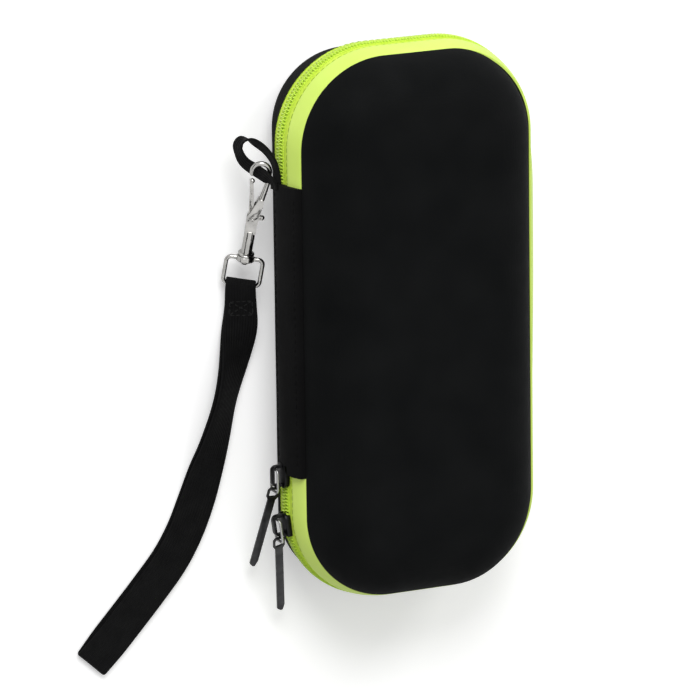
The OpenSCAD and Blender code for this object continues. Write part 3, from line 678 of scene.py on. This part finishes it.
def rim_stitches(out, high, length, gap, s, last):
    """Places of the stitches along a tape, from s to last; out and high lay the row on it."""
    rows = []
    while s + length < last:
        (a, face_a), (b, face_b) = outline_at(s), outline_at(s + length)
        lift = Vector((0, 0, high))
        rows.append((a + (out + swell(s) * zip_swell(high)) * face_a + lift,
                     b + (out + swell(s + length) * zip_swell(high)) * face_b + lift, face_a))
        s += length + gap
    return rows


# These darker green stitches also paint the shade under the band's lower edge.
for half, side, body in halves:
    rows = rim_stitches(-0.27 * MM, zip_z + side * 5.5 * MM, 2.3 * MM, 0.5 * MM,
                        tape_track[0] + MM, tape_track[-1] - MM)
    sew(half + "_tape_stitches", rows, seam_shade_thread, body, 0.24 * MM, 0.06 * MM)

# %% [markdown]
# ## The spine
# The left side has no zip: a cloth spine joins the halves and is the case's hinge. It is
# padded with a thin foam and bulges outwards. It must bend when the lid opens, but here it
# is one piece in its closed place, on no body. Its upper end overlaps the band's
# end by a hem of some 2 mm. The tail of the upper slider stands in a notch in its lower end,
# so there the section is pinched up to the level of the edge band.

# %% Spine
spine_proud, spine_low, spine_top = 2.4, -rim_h, 14.35
spine_mid = (spine_low + spine_top) / 2
half_span = (spine_top - spine_low) / 2
bulge_r = (half_span ** 2 + spine_proud ** 2) / (2 * spine_proud)
face_places, notch_h, inner_d = 23, 6.0, 0.95
spine_back = [(0.5, spine_top), (1.6, spine_top), (wall, spine_top), (2.0, 9.9), (inner_d, rim_h),
              (inner_d, 0.0), (inner_d, -5.2), (wall, -5.25), (wall, -5.86)]


def spine_face(h):
    """How far in from the outline the bulging outer face lies at one height."""
    return bulge_r - spine_proud - math.sqrt(bulge_r ** 2 - (h - spine_mid) ** 2)


def spine_section(y):
    """Distance in from the outline and height, round the spine's section at one place."""
    ripple = 0.12 * math.sin(y * 190) + 0.08 * math.sin(y * 410 + 1)
    section = [(0.45, spine_low)]
    for i in range(face_places):
        share = i / (face_places - 1)
        h = spine_low + 0.25 + (spine_top - spine_low - 0.5) * share
        seam = 0.12 if i in (2, face_places - 3) else 0
        section.append((spine_face(h) + ripple * math.sin(math.pi * share) ** 2 + seam, h))
    section += spine_back
    if y < -(spine_half - tail_notch) - 0.01 * MM:
        section = [(d, h) if h > notch_h else (min(d, inner_d), notch_h) for d, h in section]
    return section


spine_stops = [-spine_half, -spine_half + 1.5 * MM, -spine_half + tail_notch - 0.05 * MM]
spine_stops += stations_between(-spine_half + tail_notch, spine_half + 2.3 * MM, 2.4 * MM)
points, maps = [], []
for y in spine_stops:
    for j, (d, h) in enumerate(spine_section(y)):
        points.append(Vector((-case_w / 2 + d * MM, y, zip_z + h * MM)))
        maps.append((j * 0.9 * MM, y))
faces = ring_faces(len(spine_stops), len(spine_section(0)))
spine_piece = make_piece("spine_cloth_strip", points, faces, spine_cloth, None, (),
                         maps, sharp=50)
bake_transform(spine_piece)
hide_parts("spine")


def spine_stitch_rows(height):
    x = -case_w / 2 + (spine_face(height) + 0.05) * MM
    facing = Vector((-1, 0, (height - spine_mid) / bulge_r)).normalized()
    rows, y = [], -spine_half + 5 * MM
    while y < spine_half - 3 * MM:
        start = Vector((x, y, zip_z + height * MM))
        rows.append((start, start + Vector((0, 2.4 * MM, 0)), facing))
        y += 3.3 * MM
    return rows


sew("spine_low_stitches", spine_stitch_rows(-4.3), spine_cloth, "base")
sew("spine_top_stitches", spine_stitch_rows(12.8), spine_cloth, "lid")

# %% [markdown]
# ## Webbing that follows a line
# The hang loop and the wrist strap are flat webbing, so both are modelled directly: a ribbon
# with rounded selvedges is carried along a smooth line, and at each station the width has its
# own direction. The line passes through the frame's own places, smoothed by a spline through
# them, so the ribbon stays where the solid is.

# %% Ribbon helper
def smooth(rows, at):
    """A Catmull-Rom spline through the rows, at a place given in rows."""
    i = int(math.floor(at))
    f = at - i
    a, b, c, d = (np.asarray(rows[max(0, min(len(rows) - 1, i + k))], float) for k in (-1, 0, 1, 2))
    return 0.5 * (2 * b + (c - a) * f + (2 * a - 5 * b + 4 * c - d) * f ** 2
                  + (3 * b - a - 3 * c + d) * f ** 3)


edge_shape = [(-1, -0.35), (-0.97, -0.8), (-0.9, -1), (-0.5, -0.94), (0, -0.9), (0.5, -0.94),
              (0.9, -1), (0.97, -0.8), (1, -0.35)]
ribbon_shape = edge_shape + [(w, -t) for w, t in edge_shape[::-1]]


def ribbon(name, stations, thick, material, body, solids, closed=False):
    """stations are (middle, width direction, width). The section has rounded selvedges."""
    centres = [Vector(station[0]) for station in stations]
    n = len(stations)
    points, maps, run = [], [], 0.0
    for i, (centre, (_, wide, width)) in enumerate(zip(centres, stations)):
        after = centres[(i + 1) % n] if closed else centres[min(i + 1, n - 1)]
        before = centres[i - 1] if closed else centres[max(i - 1, 0)]
        along = (after - before).normalized()
        wide = Vector(wide)
        wide = (wide - wide.dot(along) * along).normalized()
        raised = along.cross(wide)
        if i:
            run += (centre - centres[i - 1]).length
        for w, t in ribbon_shape:
            points.append(centre + wide * w * width / 2 + raised * t * thick / 2)
            maps.append((w * width / 2, run))
    faces = ring_faces(n, len(ribbon_shape), joined=closed)
    piece = make_piece(name, points, faces, material, body, solids, maps, sharp=70)
    return piece, run


print("ribbon helper ready")

# %% [markdown]
# ## The hang loop
# A narrow tape comes out of the spine's upper end, runs up beside the zip, turns over in a
# teardrop and comes back through the hook's claw into the spine. The rows are the places of
# its middle, measured from the outline's left side, the spine's end and the zip's middle, each
# with the direction of the tape's width. The tape is held by the claw; here it is one piece
# in its resting place, on no body.

# %% Hang loop
loop_rows = [
    ((-1.55, 0.05, 0.2), (0, 0, 1)), ((-1.6, 5.5, 0), (0, 0, 1)), ((-2.4, 10.4, -0.9), (0, 0.1, 1)),
    ((-4.4, 14.4, -2.5), (0.1, 0.2, 1)), ((-7.2, 17.4, -4.1), (0.2, 0.3, 1)),
    ((-10.4, 19.4, -6), (0.3, 0.1, 1)), ((-13.1, 19.2, -7.5), (0.3, 0, 1)),
    ((-14.3, 16.9, -8.7), (0.2, 0.1, 1)), ((-13.1, 13.3, -9.6), (0.1, 0.5, 1)),
    ((-10.8, 9.6, -9.7), (0, 1, 0.7)), ((-7.9, 7.1, -7.2), (0, 1, 0.3)),
    ((-6.7, 6, -4.3), (0, 1, 0.35)), ((-5.6, 4.9, -1.7), (0, 0.9, 0.5)),
    ((-4, 3.4, -0.3), (0, 0.4, 1)), ((-2.95, 1.6, 0), (0, 0, 1)), ((-2.9, 0.05, 0.2), (0, 0, 1))]
loop_w, loop_t, loop_steps = 5.6 * MM, 1.0 * MM, 8
loop_origin = np.array([-case_w / 2, spine_half, zip_z])
loop_places = [np.array(row[0]) * MM + loop_origin for row in loop_rows]
loop_turns = [row[1] for row in loop_rows]
loop_stations = []
for step in range((len(loop_rows) - 1) * loop_steps + 1):
    at = step / loop_steps
    loop_stations.append((smooth(loop_places, at), smooth(loop_turns, at), loop_w))
loop_piece, loop_run = ribbon("hang_loop_tape", loop_stations, loop_t, webbing_cloth, None, ())
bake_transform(loop_piece)
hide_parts("hang_loop")
print("hang loop", round(loop_run * 1000), "mm long")

# %% [markdown]
# ## The wrist strap
# One length of 15 mm webbing is folded through the bail and sewn to itself, so it lies as two
# layers with a fold at the far end. First comes the hook's own slant, because the strap
# starts from the bail's lower bar. Then both layers are laid along one middle line, one on
# each side of it, and the line twists from the bail's slant down to the table. A row holds a
# place of that line from the bar, in millimetres, the strap's lean there in degrees, and how
# much of its full width it has.

# %% Wrist strap
hook_y = Vector((1.6, 36, 12.5)).normalized()
hook_slant = math.radians(25)
hook_side = Vector((math.cos(hook_slant), 0, math.sin(hook_slant)))
hook_x = (hook_side - hook_side.dot(hook_y) * hook_y).normalized()
hook_z = hook_x.cross(hook_y)
hook_origin = Vector((-59.2, 63, 22.5)) * MM
bail_bar_y, bail_l, bail_wire = -38.25, 12.2, 1.7
bar_place = hook_origin + (bail_bar_y - bail_l) * MM * hook_y
strap_w, strap_neck_w, strap_t, strap_gap, strap_fan = 15.0, 12.0, 1.2, 0.5, 0.55
strap_rows = [
    ((0.2, -5, -0.7), -21, 0.1), ((0.4, -10, -1.2), -18, 0.3), ((0, -18, -1.7), -8, 0.75),
    ((-2.6, -30.4, -1.5), 20, 1), ((-7.6, -46, 0.3), 36, 1), ((-12, -63, -1), 24, 1),
    ((-15.4, -75, -2.9), 9, 1), ((-19.2, -87.2, -4.1), 0, 1), ((-24.4, -99.2, -4.1), 0, 1),
    ((-31.2, -110.4, -4.1), 0, 1), ((-40.6, -121.5, -4.1), 0, 1), ((-53, -135, -4.1), 0, 1),
    ((-65.5, -148.3, -4.1), 0, 1)]
strap_steps = 6
strap_last = (len(strap_rows) - 1) * strap_steps
strap_line = [Vector(smooth([row[0] for row in strap_rows], k / strap_steps))
              for k in range(strap_last + 1)]
layer_offset = (strap_t + strap_gap) / 2
wrap_r = bail_wire / 2 + 0.35 + strap_t / 2


def strap_frame(k):
    """The directions along, to the side and up from the strap at a place of its middle line,
    and its width there in millimetres."""
    along = (strap_line[min(k + 1, strap_last)] - strap_line[max(k - 1, 0)]).normalized()
    level = along.cross(Vector((0, 0, 1)))
    level = (level - level.dot(along) * along).normalized()
    above = level.cross(along)
    lean, share = smooth([row[1:] for row in strap_rows], k / strap_steps)
    turn = math.radians(lean)
    side = -math.cos(turn) * level - math.sin(turn) * above
    wide = strap_neck_w + (strap_w - strap_neck_w) * min(1, max(0, share))
    return along, side, along.cross(side), wide


def strap_layer(way):
    """Stations of the upper layer (way 1) or the lower one (way -1), from the bail outwards.
    Near the bail they part to go round its bar, and further on they lie a little askew."""
    stations = []
    for k in range(strap_last + 1):
        _, side, raised, wide = strap_frame(k)
        spread = layer_offset + (wrap_r * 0.8 - layer_offset) * max(0.0, 1 - k / strap_steps)
        share = k / strap_last
        fan = strap_fan * ease(share, 0.35, 0.85) * (1 - ease(share, 0.94, 1.0))
        centre = strap_line[k] + way * spread * raised + way * fan * side
        stations.append((bar_place + centre * MM, side, wide * MM))
    return stations


def strap_fold():
    """Round the far end, from the upper layer down to the lower one."""
    along, side, raised, wide = strap_frame(strap_last)
    stations = []
    for a in (70, 40, 0, -40, -70):
        t = math.radians(a)
        centre = strap_line[-1] + layer_offset * (1.2 * math.cos(t) * along + math.sin(t) * raised)
        stations.append((bar_place + centre * MM, side, wide * MM))
    return stations


def strap_wrap():
    """Round the bail's lower bar, from the lower layer up to the upper one."""
    stations = []
    for a in range(-80, 81, 16):
        t = math.radians(a)
        centre = bar_place + wrap_r * MM * (math.cos(t) * hook_y + math.sin(t) * hook_z)
        stations.append((centre, hook_x, strap_neck_w * MM))
    return stations


upper_layer, lower_layer = strap_layer(1), strap_layer(-1)
strap_stations = strap_wrap() + upper_layer + strap_fold() + lower_layer[::-1]
strap_piece, strap_run = ribbon("wrist_strap_webbing", strap_stations, strap_t * MM, webbing_cloth,
                                "strap", ["wrist_strap"], closed=True)
print("strap webbing", round(strap_run * 1000), "mm long")

# %% [markdown]
# ## Sewing on the strap
# The two layers are sewn together just below the bail. A box with a cross is the usual seam
# there. Its thread is a little lighter than the black webbing: a painted highlight on the
# stitches, which also stand in relief. Stitches are laid on the outer faces of both layers by walking
# between their stations.

# %% Strap seam
seam_low, seam_high, seam_edge, seam_step = 2.5, 8.2, 0.72, 2.1 * MM
seam_corners = [(seam_low, -seam_edge), (seam_low, seam_edge), (seam_high, seam_edge),
                (seam_high, -seam_edge), (seam_low, -seam_edge), (seam_high, seam_edge),
                (seam_low, seam_edge), (seam_high, -seam_edge)]


def on_layer(layer, at, across):
    """A point on a layer's middle face: at in stations, across from -1 to 1, and its facing."""
    i = min(int(at), len(layer) - 2)
    f = at - i
    (p, w, wide), (q, v, _) = layer[i], layer[i + 1]
    along = (q - p).normalized()
    side = w.lerp(v, f).normalized()
    facing = along.cross(side).normalized()
    return p.lerp(q, f) + side * across * wide / 2, facing


def seam_rows(layer, flip):
    """Stitches from corner to corner, lifted from the layer's middle to its outer face."""
    rows = []
    for (a0, c0), (a1, c1) in zip(seam_corners, seam_corners[1:]):
        run = (on_layer(layer, a1, c1)[0] - on_layer(layer, a0, c0)[0]).length
        count = max(2, int(run / seam_step))
        for i in range(count):
            f0, f1 = (i + 0.12) / count, (i + 0.88) / count
            p, facing = on_layer(layer, a0 + (a1 - a0) * f0, c0 + (c1 - c0) * f0)
            q, _ = on_layer(layer, a0 + (a1 - a0) * f1, c0 + (c1 - c0) * f1)
            out = facing * flip
            rows.append((p + out * strap_t / 2 * MM, q + out * strap_t / 2 * MM, out))
    return rows


seam = sew("strap_seam", seam_rows(upper_layer, 1) + seam_rows(lower_layer, -1), strap_thread_painted_highlight,
           "strap", 0.24 * MM, 0.1 * MM)

# %% [markdown]
# ## Sliders, pullers and hook
# The hard parts have the right shape already, but machined solids have edges of zero width,
# and no real edge is that sharp. Each is copied, its flat faces are merged, and a small bevel
# is applied to every edge that turns by more than a third of a right angle. The copy then
# catches a thin line of light on each edge, as cast and plated metal does.

# %% Hard parts with eased edges
flat_below, eased_from = math.radians(1), math.radians(30)


def eased(node, name, body, material, width):
    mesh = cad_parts[node].data.copy()
    work = bmesh.new()
    work.from_mesh(mesh)
    bmesh.ops.remove_doubles(work, verts=work.verts, dist=2e-6)
    bmesh.ops.dissolve_limit(work, angle_limit=flat_below, verts=work.verts, edges=work.edges)
    edges = [edge for edge in work.edges
             if len(edge.link_faces) == 2 and edge.calc_face_angle(0) > eased_from]
    bmesh.ops.bevel(work, geom=edges, offset=width, segments=2, profile=0.6, affect="EDGES",
                    clamp_overlap=True)
    bmesh.ops.triangulate(work, faces=[face for face in work.faces if len(face.verts) > 4])
    work.to_mesh(mesh)
    work.free()
    finish_piece(name, mesh, material, body, [node], sharp=40)


for letter in "ab":
    for kind, name, material, width in (("slider_", "zip_slider_", black_nickel, 0.16),
                                        ("link_", "wire_link_", satin_nickel, 0.02),
                                        ("tab_", "zip_puller_", gunmetal, 0.14)):
        eased(kind + letter, name + letter, kind + letter, material, width * MM)
for node, name, body, width in (("hook_body", "snap_hook_body", "hook", 0.1),
                                ("gate_lever", "snap_gate", "gate", 0.14),
                                ("gate_pin", "snap_pin", "hook", 0.1),
                                ("gate_spring", "snap_spring", "hook", 0.03),
                                ("swivel_rivet", "snap_rivet", "hook", 0.1),
                                ("bail", "snap_bail", "bail", 0.1)):
    eased(node, name, body, chrome, width * MM)

# %% [markdown]
# ## Collar and swivel
# The hook's shank ends in a turned collar that sits on the bail, and the bail's top bar
# thickens round the rivet into a cast eye. The gate's tip is a small ball, which closes the
# claw. All are turned about the hook's long line or one beside it, as on a lathe: a profile
# of distances along the line and radii is carried round a circle.

# %% Turned parts of the hook
def turned(name, profile, body, flat=1.0, centre=(0, 0), ring=False, sides=40):
    """Profile places are (along the hook's line from its origin, radius) in millimetres; a
    ring's profile is closed on itself, and anything else is capped at both ends."""
    points = []
    for along, radius in profile:
        for i in range(sides):
            turn = 2 * math.pi * i / sides
            x = centre[0] + radius * math.cos(turn)
            z = centre[1] + radius * flat * math.sin(turn)
            points.append(hook_origin + (hook_y * along + hook_x * x + hook_z * z) * MM)
    faces = ring_faces(len(profile), sides, joined=ring)
    make_piece(name, points, faces, chrome, body, (), sharp=30)


collar_y, ball_y, ball_r = bail_bar_y + 1.7, -3.2, 1.05
collar = [(-0.1, 2.2), (0, 3.0), (0.2, 3.25), (0.7, 3.3), (0.95, 3.05), (1.15, 2.5), (1.3, 2.2)]
eye = [(1.2, 2.3), (1.15, 3.4), (0.85, 3.7), (-0.85, 3.7), (-1.15, 3.4), (-1.2, 2.3)]
turned("shank_collar", [(collar_y + y, radius) for y, radius in collar], "hook")
turned("bail_eye", [(bail_bar_y + y, radius) for y, radius in eye], "bail", 0.7, ring=True)
ball = [(ball_y + ball_r * math.cos(t), ball_r * math.sin(t))
        for t in np.linspace(0.08, math.pi - 0.08, 14)]
turned("gate_tip_ball", ball, "gate", centre=(-2.7, 0.2))

# %% [markdown]
# ## The elastic band inside
# A wide elastic band arches across the back half and holds the shaver. It is a sheet under
# tension, so it is smooth along the arch and slightly hollow across. Its feet are sewn to
# the lining.

# %% Retaining band
band_half, band_rise, band_t, band_w = 30, 14, 1.2, 38
band_floor, foot_in, foot_out = 4.1, 31.5, 33.8
foot_h = band_floor + 0.6
arch_r = (band_half ** 2 + band_rise ** 2) / (2 * band_rise) - band_t / 2
arch_z = band_floor + band_rise - band_t / 2 - arch_r
spread = math.asin((band_half - 0.4) / arch_r)
band_line = [(-foot_out, foot_h), (-foot_in, foot_h)]
band_line += [(arch_r * math.sin(t), arch_z + arch_r * math.cos(t))
              for t in (-spread + 2 * spread * i / 40 for i in range(41))]
band_line += [(foot_in, foot_h), (foot_out, foot_h)]
band_stations = [(Vector((x, 0, z)) * MM, Vector((0, 1, 0)), band_w * MM) for x, z in band_line]
band_piece, band_run = ribbon("elastic_band", band_stations, band_t * MM, elastic_cloth, "base",
                              ["retaining_band"])

# %% [markdown]
# ## The mesh pocket
# The lid has a net pocket for the lead. Knitted net is too fine for a texture to look right
# from close by, so its holes are real: a grid of small cells, each pierced by a six-sided
# hole. Cells that would cross the pocket's edge are left out, and a bound edge covers their
# ends. An elastic hem closes the top.

# %% Net, binding and hem
net_z, net_t, net_pitch, net_edge = 38.3 * MM, 0.5 * MM, 3.0 * MM, 8.2 * MM
net_columns, net_rows, pocket_top = 16, 46, 22 * MM
hem_half, hem_y, hem_w, hem_t = 44, 18.5, 7 * MM, 0.8 * MM


def inside_edge(x, y, inset):
    dx = max(0.0, abs(x) - (case_w / 2 - corner_r))
    dy = max(0.0, abs(y) - (case_l / 2 - corner_r))
    return math.hypot(dx, dy) <= corner_r - inset


def net_mesh():
    """Cells in rows, each a ring between a six-sided outline and a six-sided hole."""
    points, faces = [], []
    for j in range(net_rows):
        for i in range(-net_columns, net_columns + 1):
            x = (i + (0.5 if j % 2 else 0)) * net_pitch
            y = pocket_top - 8.5 * MM - j * net_pitch * 0.87
            if not inside_edge(abs(x) + net_pitch * 0.5, abs(y) + net_pitch * 0.5, net_edge):
                continue
            faces += ring_faces(2, 6, len(points), capped=False)
            for radius in (net_pitch / 2 / math.cos(math.pi / 6), net_pitch * 0.36):
                for t in range(6):
                    turn = math.pi * (2 * t + 1) / 6
                    points.append(Vector((x + radius * math.cos(turn),
                                          y + radius * math.sin(turn), net_z)))
    return points, faces


points, faces = net_mesh()
net = make_piece("pocket_net", points, faces, elastic_cloth, "lid", ["mesh_pocket"],
                 [(p.x, p.y) for p in points])
work = bmesh.new()
work.from_mesh(net.data)
bmesh.ops.remove_doubles(work, verts=work.verts, dist=0.02 * MM)
bmesh.ops.solidify(work, geom=work.faces[:], thickness=net_t)
work.to_mesh(net.data)
work.free()

binding_section = [(-6.9, 11.0), (-6.9, 11.8), (-7.6, 12.0), (-9.4, 11.9), (-9.6, 11.4),
                   (-9.4, 10.9), (-7.6, 10.8)]
binding_stops = stations_between(0, outline_length() / 2 + pocket_top, 2.2 * MM)
binding = swept_piece("pocket_binding", binding_section, binding_stops, elastic_cloth, "lid", ())
hem_stations = [(Vector((x, hem_y, 37.5 + 0.25 * math.cos(x / 14))) * MM, Vector((0, 1, 0)), hem_w)
                for x in np.linspace(-hem_half, hem_half, 45)]
hem_piece = ribbon("pocket_hem_elastic", hem_stations, hem_t, elastic_cloth, "lid",
                   ["pocket_hem"])[0]

# %% [markdown]
# ## Floor and light
# The photograph has a plain white ground and soft, even light, with a little more from the
# upper left, which draws the line of light along the soft edges. A white world gives the
# even part, one large soft lamp the rest, and a smaller one behind lifts the edge of the
# strap and the hook. The floor is a plain pale sheet that keeps the case's shadow, and its
# white is lifted for the camera alone. Chrome looks like its surroundings, so three black
# cards stand outside the picture, as in a studio, and draw dark lines in it.

# %% Floor, world and lamps
def flat_sheet(name, corners, material):
    """A sheet with four corners, set round the part and not part of it."""
    mesh = bpy.data.meshes.new(name)
    mesh.from_pydata(corners, [], [(0, 1, 2, 3)])
    mesh.materials.append(material)
    sheet = into_scene(name, mesh)
    return sheet


floor_reach, floor_glow = 6.0, 0.3
floor_finish, tree, shader = new_finish("floor", roughness=0.9, specular_ior_level=0.1)
vary(tree, shader, coordinates(tree), (0.93, 0.93, 0.93), (0.95, 0.95, 0.95), 3)
looked_at = add(tree, "ShaderNodeLightPath").outputs["Is Camera Ray"]
tree.links.new(remap(tree, looked_at, 0.0, floor_glow), shader.inputs["Emission Strength"])
shader.inputs["Emission Color"].default_value = (1, 1, 1, 1)
floor = flat_sheet("floor", [(floor_reach * x, floor_reach * y, 0)
                             for x, y in ((-1, -1), (1, -1), (1, 1), (-1, 1))], floor_finish)
floor.location.z = -0.0002

for name, corners in (
        ("left_card", [(-0.8, -0.5, 0.12), (-0.8, 0.45, 0.12), (-0.9, 0.45, 0.5), (-0.9, -0.5, 0.5)]),
        ("far_card", [(-0.35, 0.95, 0.08), (0.65, 0.95, 0.08), (0.65, 1.0, 0.42), (-0.35, 1.0, 0.42)]),
        ("near_card", [(-0.62, -0.92, 0.6), (-0.2, -0.92, 0.6), (-0.2, -1, 0.85), (-0.62, -1, 0.85)])):
    flat_sheet(name, corners, black_cloth).visible_camera = False

room_light, room_white = 0.52, 1.0
world = bpy.data.worlds.new("white room")
bpy.context.scene.world = world
world.use_nodes = True
tree = world.node_tree
background = tree.nodes["Background"]
background.inputs["Color"].default_value = (1, 1, 1, 1)
ray = add(tree, "ShaderNodeLightPath").outputs
seen = combine(tree, "MAXIMUM", ray["Is Camera Ray"], ray["Is Transmission Ray"])
seen = combine(tree, "MAXIMUM", seen, ray["Is Glossy Ray"])
tree.links.new(remap(tree, seen, room_light, room_white), background.inputs["Strength"])


def lamp(name, place, size, watts):
    data = bpy.data.lights.new(name, "AREA")
    data.size, data.energy = size, watts
    light = into_scene(name, data)
    light.location = place
    aimed = Vector((0, 0, 0.03)) - Vector(place)
    light.rotation_euler = aimed.to_track_quat("-Z", "Y").to_euler()


lamp("key", (-0.45, 1.3, 1.3), 0.9, 24)
lamp("rim", (0.9, 1.1, 0.7), 0.5, 6)
bpy.context.scene.view_settings.view_transform = "Standard"
print("lamps and floor ready")
